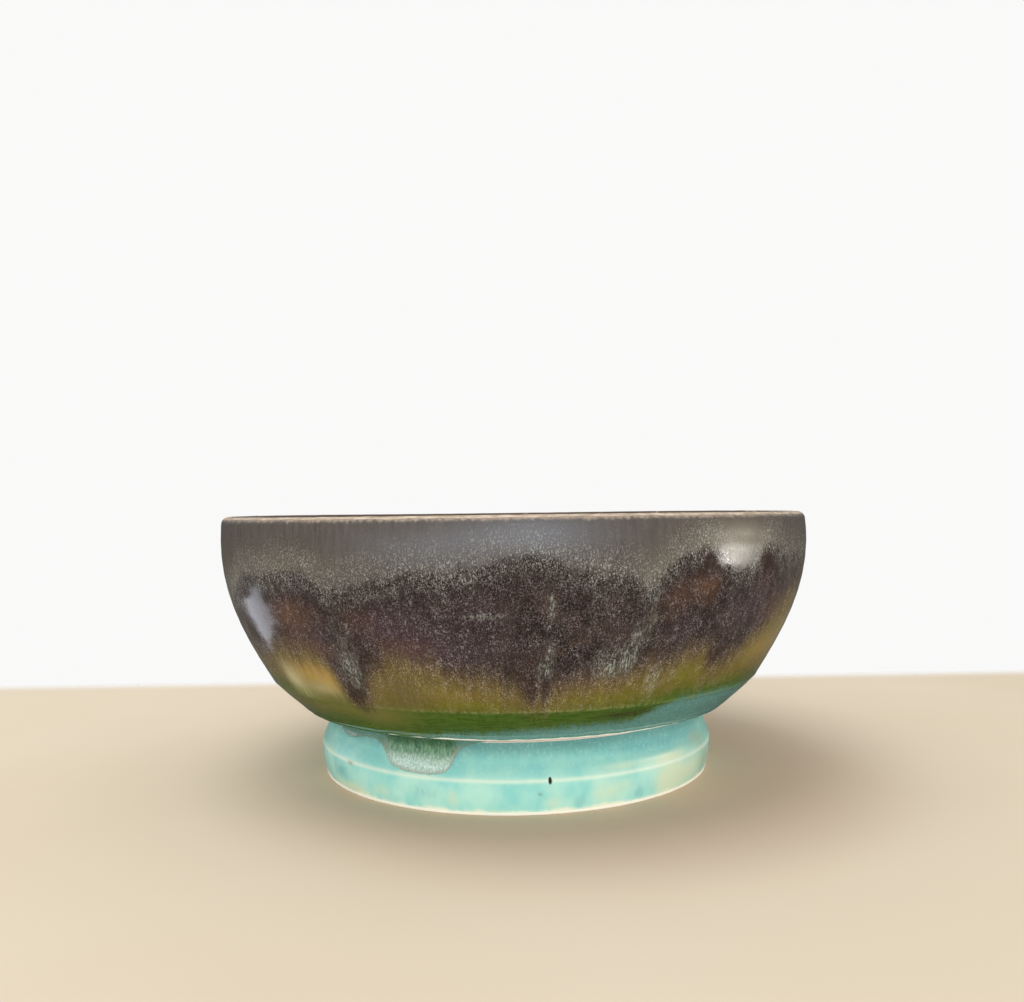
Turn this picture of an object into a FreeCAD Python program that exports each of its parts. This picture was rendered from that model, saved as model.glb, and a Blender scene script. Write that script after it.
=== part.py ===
import FreeCAD, Part
import math
import os

# A wheel-thrown stoneware bowl luted onto a separately thrown foot ring, glazed and
# fired into one pot. Millimetres. The origin is the centre of the foot's underside,
# +Z is up and the front faces -Y. Every outline is a half section in (radius, height),
# and the clay, the slip and the glaze coats share their outlines, so they touch and
# never overlap.

# Driving dimensions: the whole pot
TOTAL_HEIGHT = 87.1
BELLY_RADIUS = 100.2
BELLY_HEIGHT = 80.4

# The lip, a half round on top of the wall
LIP_RADIUS = 2.4
LIP_CENTRE_RADIUS = 97.6
LIP_CENTRE_HEIGHT = TOTAL_HEIGHT - LIP_RADIUS

# The line where the thrown wall ends and the trimmed part of the wall begins
TRIM_RADIUS = 83.9
TRIM_HEIGHT = 33.5

# Points of (radius, height) that the wall passes through on its way down
THROWN_WALL_POINTS = [(97.8, 62.4), (91.3, 46.4)]
TRIMMED_WALL_POINT = (78.7, 28.4)
COAT_END_POINT = (73.5, 24.1)

# The bowl's lower corner and its underside
CORNER_RADIUS = 72.6
CORNER_HEIGHT = 23.4
UNDERSIDE_HEIGHT = 21.0
UNDERSIDE_FLAT_RADIUS = 63.2

# The inside of the bowl, with the points that its lining passes through
WALL_THICKNESS = 5.4
FLOOR_THICKNESS = 7.6
FLOOR_FLAT_RADIUS = 34.0
LINING_POINTS = [(89.6, 54.4), (79.4, 38.4), (62.0, 30.6)]
LINING_BELLY_DROP = 6.0

# The foot ring
FOOT_BOTTOM_RADIUS = 66.6
FOOT_BAND_POINT = (67.5, 6.0)
FOOT_RIDGE_RADIUS = 67.8
FOOT_RIDGE_HEIGHT = 10.2
FOOT_NECK_POINT = (65.5, 15.8)
FOOT_INNER_RADIUS = 55.0
FOOT_INNER_TAPER = 2.0
FOOT_EDGE_ROUND = 1.0

# Thickness of the slip and of each glaze coat
SLIP_THICKNESS = 0.6
RIM_COAT = 0.4
WALL_COAT = 0.7
ROLL_COAT = 1.2
INNER_COAT = 0.6
FOOT_COAT = 0.7

# The run of glaze that bridges the crevice at the front left. Angles are from the front,
# positive to the right. The outline is its lower edge, as (across, height) points seen from
# straight in front of the tongue.
RUN_ANGLES = (-62.0, -8.0)
RUN_LOWEST_HEIGHT = 11.4
RUN_THICKNESS = 0.9
WEB_MIDDLE_POINT = (68.2, 19.6)
WEB_LOW_HEIGHT = 17.0
TONGUE_ANGLE = -27.0
TONGUE_HALF_WIDTH = 11.5
TONGUE_SHOULDER_HEIGHT = 15.0
TONGUE_TIP_HALF_WIDTH = 0.55 * TONGUE_HALF_WIDTH
TONGUE_TIP_HEIGHT = RUN_LOWEST_HEIGHT + 0.5
WEB_LEFT_TIP = (-38.0, 21.6)
WEB_LEFT_POINT = (-22.0, 17.4)
WEB_RIGHT_TIP = (17.0, 21.6)
FRONT_ANGLE = -90.0

AXIS_POINT = FreeCAD.Vector(0, 0, 0)
UP = FreeCAD.Vector(0, 0, 1)


def at(point):
    """The place of a (radius, height) point of a half section."""
    return FreeCAD.Vector(point[0], 0, point[1])


def line(start, end):
    return Part.makeLine(at(start), at(end))


def curve(points):
    """A smooth curve through the points."""
    spline = Part.BSplineCurve()
    spline.interpolate([at(point) for point in points])
    return spline.toShape()


def lip_arc(radius):
    """The half round over the lip, from its outer end to its inner end."""
    outer = (LIP_CENTRE_RADIUS + radius, LIP_CENTRE_HEIGHT)
    top = (LIP_CENTRE_RADIUS, LIP_CENTRE_HEIGHT + radius)
    inner = (LIP_CENTRE_RADIUS - radius, LIP_CENTRE_HEIGHT)
    return Part.Arc(at(outer), at(top), at(inner)).toShape()


def beside(points, depths):
    """The points moved square to the outline, to the right of its direction."""
    moved = []
    for index, (radius, height) in enumerate(points):
        before = points[max(index - 1, 0)]
        after = points[min(index + 1, len(points) - 1)]
        step_radius = after[0] - before[0]
        step_height = after[1] - before[1]
        length = math.hypot(step_radius, step_height)
        moved_radius = radius + depths[index] * step_height / length
        moved_height = height - depths[index] * step_radius / length
        moved.append((moved_radius, moved_height))
    return moved


def turned(edges, angles=None):
    """The solid swept by a closed half section, all round or between two angles."""
    face = Part.Face(Part.Wire(Part.sortEdges(edges)[0]))
    if angles is None:
        return face.revolve(AXIS_POINT, UP, 360)
    face.rotate(AXIS_POINT, UP, FRONT_ANGLE + angles[0])
    return face.revolve(AXIS_POINT, UP, angles[1] - angles[0])


# Outlines of the bowl, each running from the lip downwards

LIP_OUTER = (LIP_CENTRE_RADIUS + LIP_RADIUS, LIP_CENTRE_HEIGHT)
LIP_INNER = (LIP_CENTRE_RADIUS - LIP_RADIUS, LIP_CENTRE_HEIGHT)
CLAY_LIP_RADIUS = LIP_RADIUS - RIM_COAT
CLAY_LIP_OUTER = (LIP_CENTRE_RADIUS + CLAY_LIP_RADIUS, LIP_CENTRE_HEIGHT)
CLAY_LIP_INNER = (LIP_CENTRE_RADIUS - CLAY_LIP_RADIUS, LIP_CENTRE_HEIGHT)

TRIM_LINE = (TRIM_RADIUS, TRIM_HEIGHT)
CORNER = (CORNER_RADIUS, CORNER_HEIGHT)

thrown_wall = [LIP_OUTER, (BELLY_RADIUS, BELLY_HEIGHT)] + THROWN_WALL_POINTS + [TRIM_LINE]
trimmed_wall = [TRIM_LINE, TRIMMED_WALL_POINT, COAT_END_POINT]
thrown_clay = beside(thrown_wall, [RIM_COAT] + [WALL_COAT] * (len(thrown_wall) - 1))
trimmed_clay = beside(trimmed_wall, [WALL_COAT, WALL_COAT, ROLL_COAT])
thrown_clay[0] = CLAY_LIP_OUTER
trimmed_clay[0] = thrown_clay[-1]

FLOOR_HEIGHT = UNDERSIDE_HEIGHT + FLOOR_THICKNESS
lining_belly = (BELLY_RADIUS - WALL_THICKNESS, BELLY_HEIGHT - LINING_BELLY_DROP)
lining = [LIP_INNER, lining_belly] + LINING_POINTS + [(FLOOR_FLAT_RADIUS, FLOOR_HEIGHT)]
inside_clay = beside(lining, [-RIM_COAT] + [-INNER_COAT] * (len(lining) - 1))
inside_clay[0] = CLAY_LIP_INNER
inside_clay[-1] = (FLOOR_FLAT_RADIUS, FLOOR_HEIGHT - INNER_COAT)

# Outlines of the foot

SLIP_BOTTOM_HEIGHT = UNDERSIDE_HEIGHT - SLIP_THICKNESS
COAT_BOTTOM_HEIGHT = 2 * FOOT_EDGE_ROUND
foot_ridge = (FOOT_RIDGE_RADIUS, FOOT_RIDGE_HEIGHT)
foot_neck = [(UNDERSIDE_FLAT_RADIUS, SLIP_BOTTOM_HEIGHT), FOOT_NECK_POINT, foot_ridge]
foot_band = [foot_ridge, FOOT_BAND_POINT, (FOOT_BOTTOM_RADIUS, COAT_BOTTOM_HEIGHT)]
neck_clay = beside(foot_neck, [FOOT_COAT] * 3)
band_clay = beside(foot_band, [FOOT_COAT] * 3)
neck_clay[0] = (UNDERSIDE_FLAT_RADIUS - FOOT_COAT, SLIP_BOTTOM_HEIGHT)
band_clay[0] = neck_clay[-1]


def bowl_body():
    """The thrown clay bowl: floor, wall and lip, with a sharp lower corner."""
    centre_top = (0, FLOOR_HEIGHT - INNER_COAT)
    centre_bottom = (0, UNDERSIDE_HEIGHT)
    underside_edge = (UNDERSIDE_FLAT_RADIUS, UNDERSIDE_HEIGHT)
    return turned([
        lip_arc(CLAY_LIP_RADIUS),
        curve(thrown_clay),
        curve(trimmed_clay),
        line(trimmed_clay[-1], CORNER),
        line(CORNER, underside_edge),
        line(underside_edge, centre_bottom),
        line(centre_bottom, centre_top),
        line(centre_top, inside_clay[-1]),
        curve(inside_clay),
    ])


def rim_glaze():
    """The thin tan coat over the lip."""
    return turned([
        lip_arc(LIP_RADIUS),
        lip_arc(CLAY_LIP_RADIUS),
        line(LIP_OUTER, CLAY_LIP_OUTER),
        line(LIP_INNER, CLAY_LIP_INNER),
    ])


def outer_glaze():
    """The running coat on the outside wall, thickest in the roll at its lower edge."""
    return turned([
        line(CLAY_LIP_OUTER, LIP_OUTER),
        curve(thrown_wall),
        curve(trimmed_wall),
        line(trimmed_wall[-1], trimmed_clay[-1]),
        curve(trimmed_clay),
        curve(thrown_clay),
    ])


def inner_glaze():
    """The dark coat that lines the inside."""
    centre_top = (0, FLOOR_HEIGHT)
    centre_bottom = (0, FLOOR_HEIGHT - INNER_COAT)
    return turned([
        line(LIP_INNER, CLAY_LIP_INNER),
        curve(inside_clay),
        line(inside_clay[-1], centre_bottom),
        line(centre_bottom, centre_top),
        line(centre_top, lining[-1]),
        curve(lining),
    ])


def foot_ring():
    """The thrown clay ring that the bowl stands on, with a rounded resting edge."""
    inner_top = (FOOT_INNER_RADIUS, SLIP_BOTTOM_HEIGHT)
    inner_bottom = (FOOT_INNER_RADIUS + FOOT_INNER_TAPER, 0)
    edge_side = (FOOT_BOTTOM_RADIUS - FOOT_COAT, FOOT_EDGE_ROUND)
    edge_bottom = (edge_side[0] - FOOT_EDGE_ROUND, 0)
    quarter = FOOT_EDGE_ROUND * (1 - math.sqrt(0.5))
    edge_middle = (edge_side[0] - quarter, quarter)
    return turned([
        line(inner_top, neck_clay[0]),
        curve(neck_clay),
        curve(band_clay),
        line(band_clay[-1], edge_side),
        Part.Arc(at(edge_side), at(edge_middle), at(edge_bottom)).toShape(),
        line(edge_bottom, inner_bottom),
        line(inner_bottom, inner_top),
    ])


def foot_glaze():
    """The turquoise coat round the outside of the foot."""
    return turned([
        line(neck_clay[0], foot_neck[0]),
        curve(foot_neck),
        curve(foot_band),
        line(foot_band[-1], band_clay[-1]),
        curve(band_clay),
        curve(neck_clay),
    ])


def luting_slip():
    """The flat ring of slip that joins the foot to the bowl."""
    middle_height = SLIP_BOTTOM_HEIGHT + SLIP_THICKNESS / 2
    corners = [
        (FOOT_INNER_RADIUS, SLIP_BOTTOM_HEIGHT),
        (UNDERSIDE_FLAT_RADIUS, SLIP_BOTTOM_HEIGHT),
        (UNDERSIDE_FLAT_RADIUS, UNDERSIDE_HEIGHT),
        (FOOT_INNER_RADIUS, UNDERSIDE_HEIGHT),
    ]
    squeezed_out = (FOOT_INNER_RADIUS - SLIP_THICKNESS / 2, middle_height)
    return turned([
        line(corners[0], corners[1]),
        line(corners[1], corners[2]),
        line(corners[2], corners[3]),
        Part.Arc(at(corners[3]), at(squeezed_out), at(corners[0])).toShape(),
    ])


def glaze_run():
    """The run at the front left: a web across the crevice and a tongue down the foot."""
    crevice = (UNDERSIDE_FLAT_RADIUS, UNDERSIDE_HEIGHT)
    neck = curve(foot_neck)
    web_low = neck_point(neck, WEB_LOW_HEIGHT)
    lowest = neck_point(neck, RUN_LOWEST_HEIGHT)
    over_web = (web_low[0] + RUN_THICKNESS, web_low[1])
    over_lowest = (lowest[0] + RUN_THICKNESS, lowest[1])
    coat = turned([
        line(crevice, CORNER),
        curve([CORNER, WEB_MIDDLE_POINT, over_web]),
        line(over_web, over_lowest),
        line(over_lowest, (0, over_lowest[1])),
        line((0, over_lowest[1]), (0, crevice[1])),
        line((0, crevice[1]), crevice),
    ], RUN_ANGLES)
    foot = turned([
        curve(foot_neck),
        line(foot_neck[-1], (0, FOOT_RIDGE_HEIGHT)),
        line((0, FOOT_RIDGE_HEIGHT), (0, UNDERSIDE_HEIGHT)),
        line((0, UNDERSIDE_HEIGHT), crevice),
        line(crevice, foot_neck[0]),
    ])
    return coat.cut(foot).common(run_outline()).removeSplitter()


def run_outline():
    """A block with the run's outline, reaching out from the axis towards the tongue."""
    lower_edge = [
        WEB_LEFT_TIP,
        WEB_LEFT_POINT,
        (-TONGUE_HALF_WIDTH, TONGUE_SHOULDER_HEIGHT),
        (-TONGUE_TIP_HALF_WIDTH, TONGUE_TIP_HEIGHT),
        (TONGUE_TIP_HALF_WIDTH, TONGUE_TIP_HEIGHT),
        (TONGUE_HALF_WIDTH, TONGUE_SHOULDER_HEIGHT),
        WEB_RIGHT_TIP,
    ]
    places = [FreeCAD.Vector(across, 0, height) for across, height in lower_edge]
    spline = Part.BSplineCurve()
    spline.interpolate(places)
    above_left = FreeCAD.Vector(places[0].x, 0, TOTAL_HEIGHT)
    above_right = FreeCAD.Vector(places[-1].x, 0, TOTAL_HEIGHT)
    edges = [
        spline.toShape(),
        Part.makeLine(places[-1], above_right),
        Part.makeLine(above_right, above_left),
        Part.makeLine(above_left, places[0]),
    ]
    block = Part.Face(Part.Wire(edges)).extrude(FreeCAD.Vector(0, -BELLY_RADIUS, 0))
    block.rotate(AXIS_POINT, UP, TONGUE_ANGLE)
    return block


def neck_point(neck, height):
    """The point of the foot's neck outline at this height."""
    level = Part.makeLine(at((0, height)), at((BELLY_RADIUS, height)))
    nearest = neck.distToShape(level)[1][0][0]
    return (nearest.x, nearest.z)


NODES = {
    "bowl_body": bowl_body,
    "foot_ring": foot_ring,
    "luting_slip": luting_slip,
    "inner_glaze": inner_glaze,
    "rim_glaze": rim_glaze,
    "outer_glaze": outer_glaze,
    "foot_glaze": foot_glaze,
    "glaze_run": glaze_run,
}

os.makedirs("parts", exist_ok=True)
for name, build in NODES.items():
    shape = build()
    if not shape.isValid() or shape.Volume <= 0:
        raise ValueError(name + " is not a sound solid")
    shape.exportStep("parts/" + name + ".step")
    print(name, round(shape.Volume), len(shape.Solids), shape.BoundBox)
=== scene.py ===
import math

import bpy
import numpy as np
from mathutils import Matrix, Vector


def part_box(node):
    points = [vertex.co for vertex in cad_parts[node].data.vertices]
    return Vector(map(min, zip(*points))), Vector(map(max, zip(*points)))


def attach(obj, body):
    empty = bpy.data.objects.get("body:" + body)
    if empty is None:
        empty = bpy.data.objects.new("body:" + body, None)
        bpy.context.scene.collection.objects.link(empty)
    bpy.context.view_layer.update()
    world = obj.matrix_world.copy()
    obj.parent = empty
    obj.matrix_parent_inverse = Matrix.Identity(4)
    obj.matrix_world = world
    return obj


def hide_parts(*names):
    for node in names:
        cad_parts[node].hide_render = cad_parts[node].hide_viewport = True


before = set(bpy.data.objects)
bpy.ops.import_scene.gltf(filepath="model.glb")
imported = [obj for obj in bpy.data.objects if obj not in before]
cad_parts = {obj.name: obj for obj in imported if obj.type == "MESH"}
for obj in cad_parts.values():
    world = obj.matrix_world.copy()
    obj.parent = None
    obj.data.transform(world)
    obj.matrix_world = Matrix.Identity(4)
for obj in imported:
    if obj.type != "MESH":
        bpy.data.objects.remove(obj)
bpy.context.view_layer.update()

# A glazed stoneware bowl on a foot ring. Lengths are in millimetres until a mesh is made.
# Azimuths are measured round the pot from the front (-Y), positive to the right (+X).

MM = 0.001
FULL_TURN = 2 * math.pi


# ---------------------------------------------------------------- sizes from the frame

RAYS = 24


def cad_box(node):
    """Lowest and highest corners of a CAD node, in millimetres."""
    low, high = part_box(node)
    return Vector(low) / MM, Vector(high) / MM


def cad_distance(node, start, direction):
    """How far a ray goes from start to a CAD node's skin, in millimetres."""
    hit, place, _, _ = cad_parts[node].ray_cast(Vector(start) * MM, Vector(direction))
    if not hit:
        raise ValueError("no skin of " + node + " at " + str(start))
    return (place / MM - Vector(start)).length


def cad_radius(node, height, from_axis=False):
    """Radius of a CAD node at a height, from outside or from the axis."""
    outside = 2 * cad_box(node)[1].x
    radii = []
    for ray in range(RAYS):
        angle = FULL_TURN * ray / RAYS
        away = Vector((math.cos(angle), math.sin(angle), 0))
        if from_axis:
            radii.append(cad_distance(node, (0, 0, height), away))
        else:
            start = (away.x * outside, away.y * outside, height)
            radii.append(outside - cad_distance(node, start, -away))
    return max(radii)


def cad_outline(node, low, high, degree):
    """A smooth curve of radius by height, along a CAD node's skin."""
    heights = np.linspace(low, high, 30)
    radii = [cad_radius(node, height) for height in heights]
    return np.polynomial.Polynomial.fit(heights, radii, degree)


lip_low, lip_high = cad_box("rim_glaze")
foot_low, foot_high = cad_box("foot_glaze")

TOP = lip_high.z
LIP_HEIGHT = lip_low.z
LIP_RADIUS = TOP - LIP_HEIGHT
LIP_CENTRE = lip_high.x - LIP_RADIUS
WALL_BOTTOM = cad_box("outer_glaze")[0].z
TRIM_HEIGHT = 0.3846 * TOP
CORNER_HEIGHT = cad_box("glaze_run")[1].z
CORNER_RADIUS = cad_radius("bowl_body", CORNER_HEIGHT + 0.02)
UNDERSIDE = cad_box("bowl_body")[0].z
NECK_TOP_RADIUS = cad_box("luting_slip")[1].x
NECK_TOP = foot_high.z
RIDGE_HEIGHT = 0.5 * NECK_TOP
FOOT_INNER_RADIUS = cad_radius("foot_ring", 0.5 * NECK_TOP, from_axis=True)

HAIR = 0.05
upper_wall = cad_outline("outer_glaze", TRIM_HEIGHT, LIP_HEIGHT - HAIR, 5)
lower_wall = cad_outline("outer_glaze", WALL_BOTTOM + HAIR, TRIM_HEIGHT, 2)
foot_neck = cad_outline("foot_glaze", RIDGE_HEIGHT + HAIR, NECK_TOP - HAIR, 2)
foot_band = cad_outline("foot_glaze", foot_low.z + HAIR, RIDGE_HEIGHT - HAIR, 2)


def wall_radius(height):
    """Outside radius of the bowl's wall at this height."""
    return np.where(height > TRIM_HEIGHT, upper_wall(height), lower_wall(height))


def foot_radius(height):
    """Outside radius of the foot at this height."""
    return np.where(height > RIDGE_HEIGHT, foot_neck(height), foot_band(height))


def underside_radius(height):
    """Radius of the sloping underside between the foot and the lower corner."""
    rise = (height - UNDERSIDE) / (CORNER_HEIGHT - UNDERSIDE)
    return NECK_TOP_RADIUS + rise * (CORNER_RADIUS - NECK_TOP_RADIUS)


# ---------------------------------------------------------------- shape helpers

WARP_START = 30
LIP_LEAN = 0.45
LIP_WAVE = 0.12
LIP_OVAL = 0.25


def smooth(value, low, high):
    """0 below low, 1 above high, and an even S between."""
    t = np.clip((value - low) / (high - low), 0, 1)
    return t * t * (3 - 2 * t)


def bell(value, middle, width):
    """A soft peak, 1 high."""
    return np.exp(-(((value - middle) / width) ** 2))


def wander(azimuth, height, turns, length, seed, waves=20):
    """Seamless noise of about -1 to 1, no finer than `turns` waves round and `length` up."""
    chance = np.random.default_rng(seed)
    total = np.zeros(np.broadcast(azimuth, height).shape)
    for _ in range(waves):
        around = int(chance.integers(1, turns + 1))
        upward = chance.uniform(-FULL_TURN, FULL_TURN) / length
        phase = chance.uniform(0, FULL_TURN)
        total += np.sin(around * azimuth + upward * height + phase)
    return total / math.sqrt(2 * waves)


def uneven(azimuth, *sizes):
    """An uneven line round the pot: a sum of wanders, each (amount, turns, seed)."""
    return sum(amount * wander(azimuth, 0, turns, 50, seed) for amount, turns, seed in sizes)


def along(points, azimuth):
    """Value at each azimuth of a closed line through (azimuth in degrees, value) points."""
    degrees, values = np.array(points, float).T
    return np.interp(np.degrees(azimuth), degrees, values, period=360)


def open_line(points, azimuth):
    """Value at each azimuth of an open line, with its corners rounded."""
    degrees, values = np.array(points, float).T
    turn = np.degrees(azimuth)
    near = [np.interp(turn + shift, degrees, values) for shift in (-0.7, 0, 0.7)]
    return sum(near) / 3


def patches(blots, azimuth, height):
    """Sum of soft ovals, each (azimuth, height, half width in degrees, half height, strength)."""
    total = np.zeros(np.broadcast(azimuth, height).shape)
    for middle, level, half_width, half_height, strength in blots:
        across = (np.degrees(azimuth) - middle + 180) % 360 - 180
        total += strength * bell(across, 0, half_width) * bell(height, level, half_height)
    return total


def settle(azimuth, radius, height):
    """The fired bowl's slight warp: the lip leans to the right. Its wave and oval are guesses."""
    share = smooth(height, WARP_START, TOP)
    lean = -LIP_LEAN * np.sin(azimuth) + LIP_WAVE * np.sin(3 * azimuth + 1.0)
    oval = LIP_OVAL * np.sin(2 * azimuth + 0.7)
    return radius + share * oval, height + share * lean


def spread(*stretches):
    """Numbers through (start, end, steps) stretches that join end to end."""
    parts = [np.linspace(start, end, steps + 1)[1:] for start, end, steps in stretches]
    return np.concatenate([[stretches[0][0]]] + parts)


def turns_round(columns):
    """Azimuths of even columns all round the pot, one in each row."""
    return (-math.pi + FULL_TURN * np.arange(columns) / columns)[:, None]


def section(turn, *runs):
    """Joins (radius, height) runs of section points, and tells where each run starts."""
    grids = [np.broadcast_arrays(turn, radius, height)[1:] for radius, height in runs]
    starts = np.cumsum([0] + [radius.shape[1] for radius, _ in grids])
    radius, height = (np.concatenate(parts, axis=1) for parts in zip(*grids))
    return radius, height, starts


def round_lip(angle, out):
    """Section points this far out from the lip's skin; the angle starts at the outer side."""
    reach = LIP_RADIUS + out
    return LIP_CENTRE + reach * np.cos(angle), LIP_HEIGHT + reach * np.sin(angle)


def rolled_edge(radius, height, bead, steps):
    """A half-round edge that turns in below the last section point."""
    angle = -math.pi * np.linspace(0, 1, steps + 1)[1:]
    return radius[:, -1:] - bead + bead * np.cos(angle), height[:, -1:] + bead * np.sin(angle)


# ---------------------------------------------------------------- meshes

STRIP_GAP = 0.03
HIDDEN_SHARE = 0.04


def grid_faces(columns, points, wrap_columns, wrap_points):
    """Corner numbers (column, point) of each quad of a grid, wrapped and as if laid flat."""
    steps = points if wrap_points else points - 1
    strips = columns if wrap_columns else columns - 1
    column = np.repeat(np.arange(strips), steps)
    point = np.tile(np.arange(steps), strips)
    next_column = (column + 1) % columns
    next_point = (point + 1) % points
    corners = [(column, point), (column, next_point), (next_column, next_point), (next_column, point)]
    turned = [(column, point), (column, point + 1), (column + 1, point + 1), (column + 1, point)]
    return corners, turned


def strip_map(columns, strips, shares):
    """Texture places of grid corners: the ring is cut in strips, stacked above each other."""
    edge = np.concatenate([[0], np.cumsum(shares)]) / np.sum(shares)

    def place(column, point, own_column):
        strip = own_column * strips // columns
        across = column * strips / columns - strip
        up = (strip + STRIP_GAP + (1 - 2 * STRIP_GAP) * edge[point]) / strips
        return across * 0.996 + 0.002, up

    return place


def paint(piece, name, values):
    """Stores one number or one vector for each point of the mesh, for the material to read."""
    values = np.asarray(values, np.float32)
    vector = values.ndim > 1 and values.shape[-1] == 3
    kind, key = ("FLOAT_VECTOR", "vector") if vector else ("FLOAT", "value")
    flat = values.reshape(-1, 3) if vector else values.reshape(-1)
    missing = len(piece.data.vertices) - len(flat)
    flat = np.concatenate([flat, np.repeat(flat[:1], missing, axis=0)])
    layer = piece.data.attributes.new(name, kind, "POINT")
    layer.data.foreach_set(key, np.ascontiguousarray(flat).ravel())


def ring_piece(name, turn, radius, height, hidden=slice(0), strips=3, poles=False, wrap=True, **painted):
    """A closed solid from section points (column, point), going clockwise round the section."""
    columns, points = radius.shape
    places = np.stack([radius * np.sin(turn), -radius * np.cos(turn), height], axis=-1)
    places = places.reshape(-1, 3) * MM
    corners, turned = grid_faces(columns, points, wrap, not poles)
    faces = np.stack([column * points + point for column, point in corners], axis=1).tolist()
    steps = points - 1 if poles else points
    outward = np.diff(radius, axis=1, append=radius[:, :1])
    upward = np.diff(height, axis=1, append=height[:, :1])
    shares = np.hypot(outward, upward).mean(axis=0)[:steps]
    shares[hidden] *= HIDDEN_SHARE
    place = strip_map(columns, strips, shares)
    own_column = turned[0][0]
    spots = np.stack([np.stack(place(*corner, own_column), axis=1) for corner in turned], axis=1)
    spots = spots.reshape(-1, 2)
    if poles:
        first, last = len(places), len(places) + 1
        ends = [(0, 0, height[:, 0].mean() * MM), (0, 0, height[:, -1].mean() * MM)]
        places = np.concatenate([places, ends])
        tip = 0.3 * STRIP_GAP / strips
        fan_spots = []
        for column in range(columns):
            after = (column + 1) % columns
            faces.append([first, column * points, after * points])
            faces.append([column * points + points - 1, last, after * points + points - 1])
            left, low = place(column, 0, column)
            right, _ = place(column + 1, 0, column)
            _, high = place(column, steps, column)
            middle = (left + right) / 2
            fan_spots += [(middle, low - tip), (left, low), (right, low)]
            fan_spots += [(left, high), (middle, high + tip), (right, high)]
        spots = np.concatenate([spots, fan_spots])
    if not wrap:
        start, end = list(range(points)), list(range((columns - 1) * points, columns * points))
        faces += [start, end[::-1]]
        spots = np.concatenate([spots, [(0.999, 0.999)] * (2 * points)])
    mesh = bpy.data.meshes.new(name)
    mesh.from_pydata(places.tolist(), [], faces)
    layer = mesh.uv_layers.new(name="OFBake")
    layer.data.foreach_set("uv", np.asarray(spots, np.float32).ravel())
    mesh.shade_smooth()
    piece = bpy.data.objects.new(name, mesh)
    bpy.context.scene.collection.objects.link(piece)
    for key, values in painted.items():
        paint(piece, key, values)
    return piece


def flow_map(turn, radius, height, reference):
    """Round-the-pot and downhill coordinates in millimetres, for streaks that follow the wall."""
    step = np.hypot(np.diff(radius, axis=1), np.diff(height, axis=1))
    downhill = np.concatenate([np.zeros((len(radius), 1)), np.cumsum(step, axis=1)], axis=1)
    side = np.broadcast_to(reference * np.sin(turn), radius.shape)
    front = np.broadcast_to(-reference * np.cos(turn), radius.shape)
    return np.stack([side, front, downhill], axis=-1)


# ---------------------------------------------------------------- materials

def tone(red, green, blue):
    """A screen colour of 0 to 255 as the linear colour that a shader takes."""
    channels = []
    for value in (red, green, blue):
        part = value / 255
        channels.append(part / 12.92 if part <= 0.04045 else ((part + 0.055) / 1.055) ** 2.4)
    return (*channels, 1.0)


class Value:
    """A number in a node tree, which can be added to and multiplied."""

    def __init__(self, look, socket):
        self.look = look
        self.socket = socket

    def __add__(self, other):
        return self.look.maths("ADD", self, other)

    def __sub__(self, other):
        return self.look.maths("SUBTRACT", self, other)

    def __mul__(self, other):
        return self.look.maths("MULTIPLY", self, other)


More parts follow.
